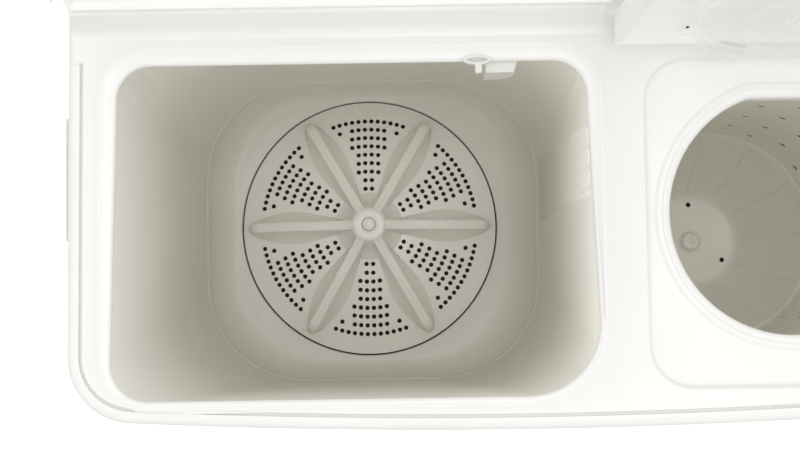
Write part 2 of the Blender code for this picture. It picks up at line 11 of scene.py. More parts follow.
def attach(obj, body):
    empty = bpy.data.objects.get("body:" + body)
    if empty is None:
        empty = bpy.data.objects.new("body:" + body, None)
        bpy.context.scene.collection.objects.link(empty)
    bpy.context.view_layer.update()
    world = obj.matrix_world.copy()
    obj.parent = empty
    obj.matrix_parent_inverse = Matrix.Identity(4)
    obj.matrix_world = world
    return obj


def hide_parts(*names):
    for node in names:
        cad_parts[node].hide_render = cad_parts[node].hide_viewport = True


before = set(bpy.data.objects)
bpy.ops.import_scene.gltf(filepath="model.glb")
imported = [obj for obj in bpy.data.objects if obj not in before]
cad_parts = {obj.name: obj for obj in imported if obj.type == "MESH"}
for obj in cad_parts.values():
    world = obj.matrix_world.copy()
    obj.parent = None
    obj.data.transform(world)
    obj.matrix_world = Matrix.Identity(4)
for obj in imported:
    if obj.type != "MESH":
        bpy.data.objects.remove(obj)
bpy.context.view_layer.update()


# ------------------------------------------------------------------------------------------------
# The studio
# A white floor and a white surround, with one large soft lamp above and a little to the right. The
# camera looks almost straight down into the tubs. Sums on a finish's values are plain expressions.


class Value:
    """A socket that takes part in sums. Each sum adds its Math node."""

    def __init__(self, finish, socket):
        self.finish, self.socket = finish, socket

    def math(self, operation, *others):
        inputs = dict(enumerate((self, *others)))
        return self.finish.node("Math", {"operation": operation}, inputs)

    def __add__(self, other):
        return self.math("ADD", other)

    def __sub__(self, other):
        return self.math("SUBTRACT", other)

    def __mul__(self, other):
        return self.math("MULTIPLY", other)

    def __rsub__(self, other):
        return (self * -1.0).math("ADD", other)

    __radd__, __rmul__ = __add__, __mul__

    def clamped(self):
        return self.math("MAXIMUM", 0.0).math("MINIMUM", 1.0)


class Finish:
    """A material and the nodes behind its shader's sockets."""

    def __init__(self, name):
        self.material = bpy.data.materials.new(name)
        self.material.use_nodes = True
        self.tree = self.material.node_tree
        self.shader = self.tree.nodes["Principled BSDF"]

    def node(self, kind, settings, inputs, output=0):
        made = self.tree.nodes.new(f"ShaderNode{kind}")
        for name, value in settings.items():
            setattr(made, name, value)
        for name, value in inputs.items():
            self.feed(made.inputs[name], value)
        return Value(self, made.outputs[output])

    def feed(self, socket, value):
        if isinstance(value, Value):
            self.tree.links.new(value.socket, socket)
        else:
            socket.default_value = value

    def place(self, stretch=(1, 1, 1)):
        """Where a point is on its piece, in metres, stretched along any axis."""
        here = self.node("TexCoord", {}, {}, "Object")
        return self.node("Mapping", {}, {"Vector": here, "Scale": stretch})

    def noise(self, scale, detail=2.0, stretch=(1, 1, 1)):
        inputs = {"Vector": self.place(stretch), "Scale": scale, "Detail": detail}
        return self.node("TexNoise", {}, inputs, "Fac")

    def between(self, low, high, share):
        """A colour between two others, each a value or three numbers."""
        ends = [end if isinstance(end, Value) else (*end, 1) for end in (low, high)]
        made = self.tree.nodes.new("ShaderNodeMix")
        made.data_type = "RGBA"
        for socket, value in zip((0, 6, 7), (share, *ends)):
            self.feed(made.inputs[socket], value)
        return Value(self, made.outputs[2])

    def wear(self, **sockets):
        for name, value in sockets.items():
            self.feed(self.shader.inputs[name.replace("_", " ")], value)
        return self.material

    def bump(self, height, strength, depth=0.0003):
        inputs = {"Height": height, "Strength": strength, "Distance": depth}
        return self.node("Bump", {}, inputs)

floor_mesh = bpy.data.meshes.new("studio_floor")
floor_mesh.from_pydata([(-6, -6, 0), (6, -6, 0), (6, 6, 0), (-6, 6, 0)], [], [(0, 1, 2, 3)])
floor = bpy.data.objects.new("studio_floor", floor_mesh)
bpy.context.scene.collection.objects.link(floor)
paper = Finish("studio_paper")
spread = paper.node("VectorMath", {"operation": "LENGTH"}, {0: paper.place((1, 1.25, 1))}, "Value")
pool = (spread * -1.1 + 1.95).clamped()
floor_mesh.materials.append(
    paper.wear(
        Base_Color=paper.between((0.62, 0.62, 0.61), (0.9, 0.9, 0.9), pool),
        Roughness=paper.noise(2.0) * 0.1 + 0.85,
        Emission_Color=paper.between((0, 0, 0), (1, 1, 1), pool),
        Emission_Strength=0.5,
    )
)

world = bpy.data.worlds.new("studio")
world.use_nodes = True
sky = world.node_tree
direction = sky.nodes.new("ShaderNodeTexCoord")
parts = sky.nodes.new("ShaderNodeSeparateXYZ")
ramp = sky.nodes.new("ShaderNodeValToRGB")
ramp.color_ramp.elements[0].color = (0.5, 0.51, 0.52, 1)
ramp.color_ramp.elements[1].color = (1.06, 1.06, 1.055, 1)
ramp.color_ramp.elements[1].position = 0.75
sky.links.new(direction.outputs["Generated"], parts.inputs[0])
sky.links.new(parts.outputs["Z"], ramp.inputs[0])
sky.links.new(ramp.outputs[0], sky.nodes["Background"].inputs["Color"])
bpy.context.scene.world = world
bpy.context.scene.view_settings.view_transform = "Standard"


def lamp(name, place, aim, width, power):
    light = bpy.data.lights.new(name, "AREA")
    light.shape, light.size, light.energy = "SQUARE", width, power
    made = bpy.data.objects.new(name, light)
    made.location = place
    made.rotation_euler = (Vector(aim) - Vector(place)).to_track_quat("-Z", "Y").to_euler()
    bpy.context.scene.collection.objects.link(made)


lamp("soft_box", (0.35, 0.1, 4.2), (-0.05, -0.05, 0.8), 0.7, 14)

eye = bpy.data.cameras.new("camera")
eye.sensor_width, eye.lens = 36, 67.5
camera = bpy.data.objects.new("camera", eye)
camera.location = (-0.111, -0.138, 2.130)
camera.rotation_euler = (math.radians(3.81), 0, math.radians(-0.9))
bpy.context.scene.collection.objects.link(camera)
bpy.context.scene.camera = camera


# ------------------------------------------------------------------------------------------------
# Top deck
# One white moulding: a flat top with rolled edges, a step round the lid seat, a ridge round the
# wash opening, a sunken pan round the spin opening, and a shelf at the back for the console.

DECK = 830
WHITE = (0.885, 0.877, 0.85)


def moulded(name, colour, roughness=0.35, shade=0.94, grain=0.12, streaks=0.0, **fixed):
    """Injection-moulded plastic: faint clouding, fine spark grain, and streaks where water runs."""
    finish = Finish(name)
    clouds = finish.noise(7.0, 4.0)
    flow = finish.noise(26.0, 3.0, (1, 1, 0.12))
    dusty = [channel * shade for channel in colour]
    share = clouds * (1 - streaks) + flow * streaks
    base = finish.between(colour, dusty, share)
    specks = finish.noise(1400.0, 1.0)
    return finish.wear(
        Base_Color=base,
        Roughness=clouds * 0.12 + (roughness - 0.06),
        Normal=finish.bump(specks, grain),
        **fixed,
    )


# The deck's white has a faint glow of its own: painted light that brightens it evenly.
deck_white_glowing = moulded(
    "deck_white_glowing", WHITE, 0.32, Emission_Color=(1, 1, 0.98, 1), Emission_Strength=0.055
)


def wrap(name, shape, material, body, stands_for=(), angle=35):
    """Turns a BMesh in millimetres into a smooth-shaded piece that rides on a body."""
    bmesh.ops.remove_doubles(shape, verts=shape.verts, dist=0.002)
    bmesh.ops.recalc_face_normals(shape, faces=shape.faces)
    bmesh.ops.scale(shape, vec=(0.001, 0.001, 0.001), verts=shape.verts)
    mesh = bpy.data.meshes.new(name)
    shape.to_mesh(mesh)
    shape.free()
    mesh.shade_smooth()
    mesh.set_sharp_from_angle(angle=math.radians(angle))
    mesh.materials.append(material)
    made = bpy.data.objects.new(name, mesh)
    bpy.context.scene.collection.objects.link(made)
    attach(made, body)
    if stands_for:
        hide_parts(*stands_for)


def rings_into(shape, rings, caps=(False, False)):
    """Skins a BMesh through closed rings of equal count, and closes the first or last if asked."""
    loops = [[shape.verts.new(point) for point in ring] for ring in rings]
    count = len(loops[0])
    for low, high in zip(loops, loops[1:]):
        for i in range(count):
            j = (i + 1) % count
            shape.faces.new((low[i], low[j], high[j], high[i]))
    for wanted, loop in zip(caps, (loops[0], loops[-1])):
        if wanted:
            shape.faces.new(loop)


def flat(outline, z):
    return [(x, y, z) for x, y in outline]


def rounded(corners, steps=12, edge=1):
    """A polygon of (x, y, radius) corners, counter-clockwise, with points along its sides too."""
    arcs = []
    for n, (x, y, radius) in enumerate(corners):
        here = Vector((x, y))
        to_last = (Vector(corners[n - 1][:2]) - here).normalized()
        to_next = (Vector(corners[(n + 1) % len(corners)][:2]) - here).normalized()
        half = to_last.angle(to_next) / 2
        inward = (to_last + to_next).normalized()
        centre = here + inward * radius / math.sin(half)
        middle = math.atan2(-inward.y, -inward.x)
        turns = [middle + (math.pi - 2 * half) * (i / steps - 0.5) for i in range(steps + 1)]
        arcs.append([centre + Vector((math.cos(a), math.sin(a))) * radius for a in turns])
    points = []
    for n, arc in enumerate(arcs):
        points += arc
        start, end = arc[-1], arcs[(n + 1) % len(arcs)][0]
        points += [start.lerp(end, i / edge) for i in range(1, edge)]
    return [tuple(point) for point in points]


def rect(left, right, front, back, radius, steps=12, edge=1):
    corners = [(right, back), (left, back), (left, front), (right, front)]
    return rounded([(x, y, radius) for x, y in corners], steps, edge)


def grown(outline, by):
    """Moves each point of a counter-clockwise outline straight out from it."""
    moved = []
    count = len(outline)
    for i, point in enumerate(outline):
        here = Vector(point)
        ahead = Vector(outline[(i + 1) % count]) - here
        behind = here - Vector(outline[i - 1])
        if ahead.length < 1e-6:
            ahead = behind
        if behind.length < 1e-6:
            behind = ahead
        out_a = Vector((ahead.y, -ahead.x)).normalized()
        out_b = Vector((behind.y, -behind.x)).normalized()
        out = (out_a + out_b).normalized()
        moved.append(tuple(here + out * by / max(0.4, out.dot(out_a))))
    return moved


def circle(centre, radius, count=96):
    turns = [2 * math.pi * i / count for i in range(count)]
    return [(centre[0] + radius * math.cos(a), centre[1] + radius * math.sin(a)) for a in turns]


def sheet_into(shape, outer, holes, place, spots=(), wall=0):
    """A sheet with holes, bent by place(x, y, depth), with a wall down each hole."""
    points, faces = list(outer), [list(range(len(outer)))]
    for hole in holes:
        first = len(points)
        points += hole[::-1]
        faces.append(list(range(first, len(points))))
    points += list(spots)
    made = delaunay_2d_cdt([Vector(p) for p in points], [], faces, 2, 1e-5)
    flat_points, triangles = made[0], made[2]
    verts = [shape.verts.new(place(p.x, p.y, 0)) for p in flat_points]
    for triangle in triangles:
        shape.faces.new([verts[i] for i in triangle])
    if wall:
        for hole in holes:
            rings_into(shape, [[place(x, y, depth) for x, y in hole] for depth in (0, wall)])


def level(z):
    """A place for a flat sheet at one height, with the walls of its holes going down."""
    return lambda x, y, depth: (x, y, z - depth)


def arc(start, end, steps=6):
    """Cosines and sines from one angle to another."""
    turns = [math.radians(start + (end - start) * i / steps) for i in range(steps + 1)]
    return [(math.cos(a), math.sin(a)) for a in turns]


def down_side(start, end):
    """Points along a straight side, close together where the step of the lid seat fades out."""
    levels = (110, 97, 95.7, 94.3, 93, 91.7, 88, 0)
    slope = (end[0] - start[0]) / (end[1] - start[1])
    return [(start[0] + slope * (y - start[1]), y) for y in sorted(levels, reverse=start[1] > end[1])]


def body_outline(inset=0):
    """The deck's outline: tight rear corners, wide front ones, and a front edge that bows out."""
    front = -220 + inset
    side, rear, back = 401 - inset, 398 - inset, 230 - inset
    tight, wide = 16 - inset, 58 - inset
    corners = rounded([(rear, back, tight), (-rear, back, tight), (-side, front, wide), (side, front, wide)])
    rear_right, rear_left, front_left, front_right = (corners[i : i + 13] for i in range(0, 52, 13))
    bow = []
    for i in range(1, 24):
        share = i / 12 - 1
        bow.append((share * 343, front - 10 * (1 - share * share)))
    left_side = down_side(rear_left[-1], front_left[0])
    right_side = down_side(front_right[-1], rear_right[0])
    return rear_right + rear_left + left_side + front_left + bow + front_right + right_side


def seat_step(y):
    """How much of the step outside the lid seat there is this far back."""
    share = min(1, max(0, (96 - y) / 4))
    return share * share * (3 - 2 * share)


# Corners are (x, y, radius). The pan is left, right, front, back and radius. The seat is (inset, drop),
# and the collar is (how far outside the spin opening, height).
WASH_OPENING = ((54, 91.4, 30), (-355, 91.4, 30), (-363, -201, 33), (65, -201, 63))
WASH_RIDGE = ((68, 106, 42), (-371, 106, 42), (-371, -208, 44), (68.5, -208, 70))
PAN = (106, 362, -196, 91, 37)
SPIN_AXIS = (234, -45)
SPIN_OPENING_RADIUS, SPIN_OPENING_BACK = 107, 56
LID_SEAT = ((14.4, 0), (14, 0.5), (13.8, 2), (13.6, 8), (11, 8), (10.8, 3.8), (10.6, 2.8), (9, 2.6))
SPIN_COLLAR = [(14, -8), (12.5, -6.9), (11, -6.5), (8, -6.5), (6.5, -7.6), (4, -7.6), (2, -8.2)]
SPIN_COLLAR += [(0.5, -9.6), (0, -11.5), (0, -24), (1.5, -26)]


def spin_opening(grow=0):
    """A circle cut straight along its back."""
    back = SPIN_OPENING_BACK + grow
    return [(x, min(y, back)) for x, y in circle(SPIN_AXIS, SPIN_OPENING_RADIUS + grow, 144)]


wash_edge = rounded(WASH_OPENING)
wash_ridge = rounded(WASH_RIDGE)
pan = rect(*PAN)
deck = bmesh.new()
sheet_into(deck, body_outline(14.4), [grown(wash_ridge, 2), grown(pan, 3)], level(DECK))
edges = []
for inset, drop in LID_SEAT:
    edges.append([(x, y, DECK - drop * seat_step(y)) for x, y in body_outline(inset)])
for c, s in arc(0, 90, 8)[1:]:
    roll = body_outline(9 - 9 * s)
    edges.append([(x, y, DECK - 9 + (9 - 2.6 * seat_step(y)) * c) for x, y in roll])
rings_into(deck, edges + [flat(body_outline(0), DECK - 32), flat(body_outline(3), DECK - 32)])
lip = [flat(grown(wash_edge, 2.5), DECK - 18), flat(grown(wash_edge, 0.2), DECK - 5)]
lip += [flat(grown(wash_edge, 4 - 4 * c), DECK - 4 + 4 * s) for c, s in arc(0, 90)]
lip += [flat(grown(wash_ridge, g), DECK + z) for g, z in ((-2, 0), (-1, 0.7), (0, 1), (1, 0.7), (2, 0))]
rings_into(deck, lip)
pan_wall = [flat(grown(pan, 3 - 3 * s), DECK - 3 * (1 - c)) for c, s in arc(0, 90)]
pan_wall += [flat(grown(pan, -3 * (1 - c)), DECK - 5 - 3 * s) for c, s in arc(0, 90)]
rings_into(deck, pan_wall)
sheet_into(deck, grown(pan, -3), [spin_opening(14)], level(DECK - 8))
rings_into(deck, [flat(spin_opening(grow), DECK + z) for grow, z in SPIN_COLLAR])
wrap("deck_top", deck, deck_white_glowing, "machine", ["top_deck"])


def shelf_section(foot):
    """The slope up to the shelf, with a soft foot and a rounded brow."""
    points = [(foot - 6, -3), (foot - 6, 0)]
    points += [(foot - 6 + 12 * c, 12 + 12 * s) for c, s in arc(270, 327, 6)]
    points += [(foot + 14.6 + 3 * c, 16 + 3 * s) for c, s in arc(147, 90, 4)]
    points += [(228, 19), (229.5, 17), (229.5, -3)]
    return points


shelf = bmesh.new()
for foot, left, right in ((120, -394.5, 73), (137, 73, 394.5)):
    section = shelf_section(foot)
    ends = [(left, 2), (left + 0.7, 0.6), (left + 2, 0), (right - 2, 0), (right - 0.7, 0.6), (right, 2)]
    slices = []
    for x, pull in ends:
        slices.append(
            [(x, y + (pull if y < 200 else -pull), DECK + z - (pull if z > 1 else 0)) for y, z in section]
        )
    rings_into(shelf, slices, caps=(True, True))
wrap("deck_shelf", shelf, deck_white_glowing, "machine", ["top_deck"])


# ------------------------------------------------------------------------------------------------
# Wash tub
# A deep off-white moulding hung under the deck. Its tight upper corners widen as they go down, and
# its wall bends softly into the floor, which has a round well for the pulsator.

TUB_FLOOR = 410
TUB_TOP, TUB_BEND = DECK - 3.3, TUB_FLOOR + 44
TUB_WALL = 3
PULSATOR_AXIS = (-144, -26)
WELL_RADIUS = 146

# Left, right, front, back and corner radius of the tub at three heights.
TUB_MOUTH = (-364, 64, -204, 145, 40)
TUB_FOOT = (-325, 45, -198, 137, 110)
TUB_FLOOR_EDGE = (-292, 9, -176, 124, 102)


def tub_with_painted_light():
    """Painted light and shade on the tub: it glows near its mouth, most to the right, and a little along its
    back, and its colour is painted darker towards the floor.
    """
    finish = Finish("tub_painted_light")
    here = finish.place()
    height = finish.node("SeparateXYZ", {}, {"Vector": here}, "Z")
    across = finish.node("SeparateXYZ", {}, {"Vector": here}, "X")
    along = finish.node("SeparateXYZ", {}, {"Vector": here}, "Y")
    # Painted shade: the colour is darker towards the floor and lighter towards the mouth.
    painted_light_by_height = (height * 4.2 - 2.45).clamped()
    # Painted light: a glow near the mouth, stronger on the right, and a little along the back.
    mouth = (height * 2.6 - 1.15).math("MAXIMUM", 0.0)
    right = (across * 7.0 + 0.5).clamped()
    back = (along * 14.0 - 0.9).clamped()
    clouds = finish.noise(6.0, 4.0)
    stain = finish.noise(22.0, 3.0, (1, 1, 0.1))
    low = finish.between((0.72, 0.7, 0.635), (0.65, 0.635, 0.578), clouds * 0.6 + stain * 0.4)
    high = finish.between((0.9, 0.89, 0.845), (0.87, 0.86, 0.81), stain)
    glow = mouth * mouth * (right * mouth * 0.9 + 0.42) + back * 0.2
    return finish.wear(
        Base_Color=finish.between(low, high, painted_light_by_height),
        Roughness=clouds * 0.1 + 0.3,
        Emission_Color=finish.between((0, 0, 0), (0.98, 0.95, 0.87), glow),
        Emission_Strength=0.28,
        Normal=finish.bump(finish.noise(1400.0, 1.0), 0.08),
    )


tub_painted_light = tub_with_painted_light()


def tub_section(above, below, share, grow=0):
    """The tub's outline part of the way down from one of its outlines to the next."""
    left, right, front, back, radius = (a + (b - a) * share for a, b in zip(above, below))
    return rect(left - grow, right + grow, front - grow, back + grow, radius + grow, 16, 40)


def tub_ring(depth, grow=0):
    return tub_section(TUB_MOUTH, TUB_FOOT, depth, grow)


def bend_ring(turn, grow=0):
    return tub_section(TUB_FOOT, TUB_FLOOR_EDGE, 1 - math.cos(turn * math.pi / 2), grow)


def ribbed(ring, z):
    """Shallow upright ribs round the two back corners of the tub."""
    fade = min(1, max(0, (z - 600) / 120))
    points = [(x, y, z) for x, y in ring]
    for first, last, depth in ((-18, 0, 1.0), (0, 20, 2.4), (52, 76, 1.6)):
        for i in range(first, last, 3):
            x, y, z = points[i]
            ahead, behind = Vector(ring[i + 1]), Vector(ring[i - 1])
            along = (ahead - behind).normalized()
            points[i] = (x - along.y * depth * fade, y + along.x * depth * fade, z)
    return points


tub = bmesh.new()
rings = [flat(tub_ring(0, 8), TUB_TOP - 3), flat(tub_ring(0, 8), TUB_TOP)]
for i in range(17):
    rings.append(ribbed(tub_ring(i / 16), TUB_TOP + (TUB_BEND - TUB_TOP) * i / 16))
rings += [flat(bend_ring(0, -0.4), TUB_BEND - 0.4), flat(bend_ring(0, -1), TUB_BEND - 1.2)]
for i in range(1, 13):
    rise = 42 * (1 - math.sin(i / 24 * math.pi))
    rings.append(flat(bend_ring(i / 12, -1.4 * (1 - i / 12)), TUB_FLOOR + rise))
rings_into(tub, rings)
sheet_into(tub, bend_ring(1), [circle(PULSATOR_AXIS, WELL_RADIUS + 2, 144)], level(TUB_FLOOR))
well = ((148, 0), (146.6, -0.5), (WELL_RADIUS, -2), (WELL_RADIUS, -14), (144, -16), (14, -16), (14, -19))
well_outside = ((149, -3), (149, -19), (14, -19))
for profile in (well, well_outside):
    rings_into(tub, [flat(circle(PULSATOR_AXIS, r, 144), TUB_FLOOR + z) for r, z in profile])
outside = []
for i in range(6, 0, -1):
    rise = 44 * (1 - math.sin(i / 12 * math.pi))
    outside.append(flat(bend_ring(i / 6, TUB_WALL), TUB_FLOOR - TUB_WALL * i / 6 + rise))
outside += [flat(tub_ring(1, TUB_WALL), TUB_BEND), flat(tub_ring(0, TUB_WALL), TUB_TOP - 3)]
rings_into(tub, outside + [flat(tub_ring(0, 8), TUB_TOP - 3)])
sheet_into(tub, bend_ring(1, TUB_WALL), [circle(PULSATOR_AXIS, 149, 144)], level(TUB_FLOOR - TUB_WALL))
wrap("wash_tub_moulding", tub, tub_painted_light, "machine", ["wash_tub"])


# ------------------------------------------------------------------------------------------------
# Pulsator
# A domed disc of white plastic that turns in the well: six leaf-shaped vanes round a raised hub,
# with a fan of small water holes between each pair, and a cap over its bolt.

PULSATOR_RADIUS = 144.4
HOLE_RADIUS, HOLE_SPACING = 2.6, 7.4
VANE_START, VANE_END = 16, 138
pulsator_plastic = moulded("pulsator_plastic", (0.85, 0.84, 0.785), 0.27, shade=0.95)


def dome(radius):
    """How high the disc stands above the tub's floor: domed, with a rim that turns down."""
    fall = 2.5 * max(0, (radius - 138) / 7) ** 2
    return max(2, 26 * (1 - (max(0, radius - 36) / 109) ** 1.4)) - fall


def from_hub(radius, turn):
    return (PULSATOR_AXIS[0] + radius * math.cos(turn), PULSATOR_AXIS[1] + radius * math.sin(turn))


def water_holes():
    """The middles of a fan of holes in each sector: twelve at the rim, then fewer towards the hub."""
    places = []
    for sector in range(6):
        middle = math.radians(30 + 60 * sector)
        for row, count in enumerate((12, 6, 6, 6, 4, 4, 4, 2, 2)):
            radius = 122 - 9.9 * row
            across = [HOLE_SPACING * (i - (count - 1) / 2) for i in range(count)]
            if row == 1:
                across += [-33, 33]
            places += [from_hub(radius, middle + a / radius) for a in across]
    return places


def on_dome(x, y, depth):
    reach = math.hypot(x - PULSATOR_AXIS[0], y - PULSATOR_AXIS[1])
    return (x, y, TUB_FLOOR + dome(reach) - depth)


hole_middles = water_holes()
spots = []
for n in range(14):
    for i in range(120):
        spot = from_hub(38 + n * HOLE_SPACING, 2 * math.pi * (i + n % 2 / 2) / 120)
        if all(math.dist(spot, middle) > HOLE_RADIUS + 1 for middle in hole_middles):
            spots.append(spot)
disc = bmesh.new()
disc_edge = circle(PULSATOR_AXIS, PULSATOR_RADIUS, 180)
sheet_into(disc, disc_edge, [circle(m, HOLE_RADIUS, 12) for m in hole_middles], on_dome, spots, wall=3)
rings_into(disc, [flat(disc_edge, TUB_FLOOR + dome(PULSATOR_RADIUS)), flat(disc_edge, TUB_FLOOR - 8)])
wrap("pulsator_disc", disc, pulsator_plastic, "pulsator_drive", ["pulsator"])

# Black sheets stand in for the shade inside holes and gaps: painted shade. This one lies under the pulsator,
# behind its holes and the gap round its rim.
painted_hole_shade = moulded("painted_hole_shade", (0.012, 0.012, 0.011), 0.8)
painted_shade_under_disc = bmesh.new()
shadow = []
for radius in (20, 50, 80, 105, 125, 136):
    shadow.append(flat(circle(PULSATOR_AXIS, radius, 72), TUB_FLOOR + dome(radius) - 3.2))
shadow += [flat(circle(PULSATOR_AXIS, radius, 72), TUB_FLOOR - 4) for radius in (138, 145.8)]
rings_into(painted_shade_under_disc, shadow)
wrap("pulsator_painted_shade", painted_shade_under_disc, painted_hole_shade, "pulsator_drive")


def vane(turn):
    """A vane: a flat-topped ridge of even width, with leaf-shaped flanks and a round end."""
    shape = bmesh.new()
    rings = []
    length = VANE_END - VANE_START
    for i in range(41):
        share = 1 - (1 - i / 40) ** 1.5
        radius = VANE_START + length * share
        tip = math.sqrt(max(0.0004, 1 - max(0, (radius - 126) / 12.2) ** 2))
        foot = (7 + 11.4 * math.sin(math.pi * share**1.3) ** 1.3) * tip
        crest = 4.9 * tip
        root = max(0, 1 - (radius - VANE_START) / 35)
        height = (19 + 11 * root**2) * (0.25 + 0.75 * tip)
        section = [(-foot, -1), (-foot, 0.1), (-(foot + crest) / 2, height * 0.36)]
        section += [(-crest - 1, height * 0.86), (-crest - 0.1, height - 0.4)]
        section += [(-crest + 1, height), (0, height + 0.3)]
        section += [(-a, h) for a, h in section[5::-1]]
        ring = []
        for across, h in section:
            x = PULSATOR_AXIS[0] + radius * math.cos(turn) - across * math.sin(turn)
            y = PULSATOR_AXIS[1] + radius * math.sin(turn) + across * math.cos(turn)
            ring.append((x, y, TUB_FLOOR + dome(math.hypot(radius, across)) + h))
        rings.append(ring)
    rings_into(shape, rings, caps=(True, True))
    return shape


for n in range(6):
    leaf = vane(math.radians(60 * n))
    wrap(f"pulsator_vane_{n + 1}", leaf, pulsator_plastic, "pulsator_drive", angle=25)


def turned(name, profile, centre, material, body, stands_for=(), count=96, base=0):
    """A profile of (radius, height above its base), turned round an upright axis."""
    shape = bmesh.new()
    rings = [flat(circle(centre, max(0.05, r), count), base + z) for r, z in profile]
    rings_into(shape, rings, caps=(profile[0][0] == 0, profile[-1][0] == 0))
    wrap(name, shape, material, body, stands_for)


hub = [(39, 25.4), (34, 28.5), (29, 33.5), (24, 41.5), (20.8, 49), (19.2, 54)]
hub += [(17.6, 56), (15.6, 56.6), (9, 56.8), (7.6, 56.2), (7.4, 54), (0, 54)]
cap = [(6.9, 53), (6.9, 60), (6.2, 61.4), (4.2, 61.8), (3.8, 60.9), (3.4, 60.9), (3.1, 61.6), (0, 61.8)]
for name, profile, nodes, count in (
    ("pulsator_hub", hub, [], 96),
    ("pulsator_bolt_cap", cap, ["pulsator_cap"], 48),
):
    turned(
        name, profile, PULSATOR_AXIS, pulsator_plastic, "pulsator_drive",
        nodes, count, TUB_FLOOR,
    )


# ------------------------------------------------------------------------------------------------
# Spin basket and its case
# A drum of white plastic with staggered rows of holes up its wall, a balance ring at its mouth and
# a coned floor with three drain holes. It turns in a plain still case under the deck's pan.

BASKET_RADIUS, BASKET_FLOOR = 116, 351
WALL_LOW, WALL_HIGH = 463, 795
WALL_HOLE_RADIUS, DRAIN_REACH = 3.5, 44
# The basket's plastic has a faint glow of its own: painted light that brightens the drum.
basket_plastic = moulded(
    "basket_plastic", (0.86, 0.845, 0.77), 0.36, shade=0.92, streaks=0.6,
    Emission_Color=(0.97, 0.97, 0.9, 1), Emission_Strength=0.03,
)
case_plastic = moulded("case_plastic", (0.8, 0.79, 0.73), 0.5, streaks=0.5)


def on_wall(along, z, depth):
    """Rolls a flat strip into the drum's wall, with a fine upright rib between columns of holes."""
    turn, radius = along / BASKET_RADIUS, BASKET_RADIUS + depth
    column = (math.degrees(turn) - 8) % 15 - 7.5
    radius -= 0.9 * math.exp(-((column / 0.7) ** 2)) if depth == 0 else 0
    return (SPIN_AXIS[0] + radius * math.cos(turn), SPIN_AXIS[1] + radius * math.sin(turn), z)


around = 2 * math.pi * BASKET_RADIUS
hole_places, wall_spots = [], []
for column in range(24):
    along = around * (column * 15 + 8.5) / 360
    for row in range(5):
        z = DECK - 127 - 35 * (column % 2) - 70 * row
        if z > 470:
            hole_places.append((along, z))
columns = 240
for i in range(1, columns):
    for j in range(1, 8):
        spot = (around * i / columns, WALL_LOW + (WALL_HIGH - WALL_LOW) * j / 8)
        if all(math.dist(spot, place) > 5.4 for place in hole_places):
            wall_spots.append(spot)
strip = [(around * i / columns, WALL_LOW) for i in range(columns + 1)]
strip += [(around * i / columns, WALL_HIGH) for i in range(columns, -1, -1)]
drum = bmesh.new()
wall_holes = [circle(place, WALL_HOLE_RADIUS, 12) for place in hole_places]
sheet_into(drum, strip, wall_holes, on_wall, wall_spots, wall=2)
cone = [(116, 463), (115.4, 462), (112.5, 461), (111.5, 459.5), (70, 381)]
cone += [(58, 356.5), (54, 352.3), (49, BASKET_FLOOR)]
rings_into(drum, [flat(circle(SPIN_AXIS, r, 240), z) for r, z in cone])
drain_holes = []
for degrees in (90, 210, 330):
    turn = math.radians(degrees)
    middle = (SPIN_AXIS[0] + DRAIN_REACH * math.cos(turn), SPIN_AXIS[1] + DRAIN_REACH * math.sin(turn))
    drain_holes.append(circle(middle, 2.9, 16))
floor_holes = [*drain_holes, circle(SPIN_AXIS, 14, 48)]
sheet_into(drum, circle(SPIN_AXIS, 49, 240), floor_holes, level(BASKET_FLOOR), wall=3)
boss = [(14, BASKET_FLOOR), (12, 351.6), (10.4, 354), (10, 361)]
boss += [(8.5, 363), (3, 363.2), (2.4, 361.8), (0, 361.6)]
rings_into(drum, [flat(circle(SPIN_AXIS, max(0.05, r), 48), z) for r, z in boss])
skin = [(118, 795), (118, 461), (55, 348), (8.4, 348)]
rings_into(drum, [flat(circle(SPIN_AXIS, r, 96), z) for r, z in skin])
wrap("basket_drum", drum, basket_plastic, "basket_drive", ["spin_basket"])

# A black sheet just behind the drum's wall holes and floor: painted shade seen through them.
behind = bmesh.new()
for profile in (((116.6, 465), (116.6, 794)), ((53, 349.4), (12, 349.4))):
    rings_into(behind, [flat(circle(SPIN_AXIS, r, 144), z) for r, z in profile])
wrap("basket_holes_painted_shade", behind, painted_hole_shade, "basket_drive")

for n in range(12):
    turn = math.radians(2 + 30 * n)
    rib = bmesh.new()
    rings = []
    for radius, z in ((111, 459), (100, 438.2), (85, 409.8), (70, 381.5), (60, 361.5)):
        ring = []
        for across, h in ((-1.3, -0.5), (-0.7, 0.9), (0.7, 0.9), (1.3, -0.5)):
            x = (radius - h) * math.cos(turn) - across * math.sin(turn)
            y = (radius - h) * math.sin(turn) + across * math.cos(turn)
            ring.append((SPIN_AXIS[0] + x, SPIN_AXIS[1] + y, z + h * 0.6))
        rings.append(ring)
    rings_into(rib, rings, caps=(True, True))
    wrap(f"basket_rib_{n + 1}", rib, basket_plastic, "basket_drive")

balance = [(118, 795.3), (118, 803), (116.5, 805.3), (112.5, 805.3)]
balance += [(111, 803.5), (110.5, 799), (111, 795.6), (118, 795.3)]
turned(
    "basket_balance_ring", balance, SPIN_AXIS, basket_plastic, "basket_drive",
    ["balance_ring"], 144,
)
case = [(141, 815.7), (141, 818.7), (130, 818.7), (130, 336), (126, 332), (30, 332)]
case += [(30, 329), (129, 329), (133, 333), (133, 815.7), (141, 815.7)]
turned("spin_case", case, SPIN_AXIS, case_plastic, "machine", ["spin_tub_case"], 144)


# ------------------------------------------------------------------------------------------------
# Filters
# A lint filter hangs behind the back lip of the wash opening from a small white clip, and a panel
# over the overflow pipe slides into the right wall.

CLIP_MIDDLE = (-40, 92)
filter_white = moulded("filter_white", (0.83, 0.825, 0.78), 0.38)


def clip_loop(half_width, half_depth):
    """An oval left open at one side."""
    x, y = CLIP_MIDDLE
    return [(x + half_width * c, y + half_depth * s) for c, s in arc(0, 345, 23)]


